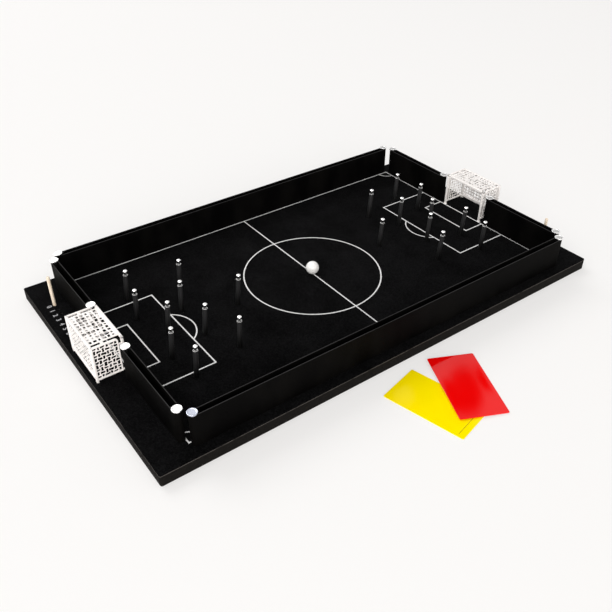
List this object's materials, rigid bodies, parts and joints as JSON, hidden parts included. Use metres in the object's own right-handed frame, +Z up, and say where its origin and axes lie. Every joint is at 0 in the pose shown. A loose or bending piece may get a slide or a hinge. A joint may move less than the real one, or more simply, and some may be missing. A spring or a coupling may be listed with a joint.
{
  "type": "finger football board game",
  "caption": "Felt-topped board with a printed pitch, rubber band walls on metal posts, upright player pins, a netted goal at each end, ball, score pegs and referee cards.",
  "frame": {"origin": "middle of the board's underside", "axes": "+X along the board towards the away goal, +Y across it towards the back wall, +Z up"},
  "size_m": [0.572, 0.455, 0.0571],
  "materials": {
    "board": "black stained edge of a fibreboard",
    "felt": "short black pile",
    "line_print": "pale grey screen print",
    "post_metal": "satin, turned",
    "band_rubber": "smooth black rubber",
    "pin_steel": "bright head, darker shank",
    "sleeve_rubber": "satin black rubber",
    "goal_plastic": "white moulding",
    "net_plastic": "white moulding",
    "ball_plastic": "smooth white",
    "peg_wood": "pale bare wood",
    "yellow_card": "glossy yellow",
    "red_card": "glossy red"
  },
  "bodies": {
    "board": {"base_board": "board", "felt_sheet": "felt", "pitch_markings": "line_print", "front_wall_posts": "post_metal", "front_wall_band": "band_rubber", "back_wall_posts": "post_metal", "back_wall_band": "band_rubber", "home_front_wall_posts": "post_metal", "home_front_wall_band": "band_rubber", "home_back_wall_posts": "post_metal", "home_back_wall_band": "band_rubber", "away_front_wall_posts": "post_metal", "away_front_wall_band": "band_rubber", "away_back_wall_posts": "post_metal", "away_back_wall_band": "band_rubber", "home_player_pins": "pin_steel", "home_player_sleeves": "sleeve_rubber", "away_player_pins": "pin_steel", "away_player_sleeves": "sleeve_rubber"},
    "home_goal": {"home_goal_frame": "goal_plastic", "home_goal_nets": "net_plastic"},
    "away_goal": {"away_goal_frame": "goal_plastic", "away_goal_nets": "net_plastic"},
    "ball": {"ball": "ball_plastic"},
    "home_score_peg": {"home_score_peg": "peg_wood"},
    "away_score_peg": {"away_score_peg": "peg_wood"},
    "yellow_card": {"yellow_card": "yellow_card"},
    "red_card": {"red_card": "red_card"}
  },
  "joints": [
    {"name": "home_goal_lift", "type": "slide", "parent": "board", "child": "home_goal", "axis": [0, 0, 1], "range_m": [0, 0.06]},
    {"name": "away_goal_lift", "type": "slide", "parent": "board", "child": "away_goal", "axis": [0, 0, 1], "range_m": [0, 0.06]},
    {"name": "ball_roll", "type": "slide", "parent": "board", "child": "ball", "axis": [1, 0, 0], "range_m": [-0.092, 0.092]},
    {"name": "home_peg_pull", "type": "slide", "parent": "board", "child": "home_score_peg", "axis": [0, 0, 1], "range_m": [0, 0.05]},
    {"name": "away_peg_pull", "type": "slide", "parent": "board", "child": "away_score_peg", "axis": [0, 0, 1], "range_m": [0, 0.05]},
    {"name": "yellow_card_lift", "type": "slide", "parent": "board", "child": "yellow_card", "axis": [0, 0, 1], "range_m": [0, 0.06]},
    {"name": "red_card_lift", "type": "slide", "parent": "yellow_card", "child": "red_card", "axis": [0, 0, 1], "range_m": [0, 0.06]}
  ]
}
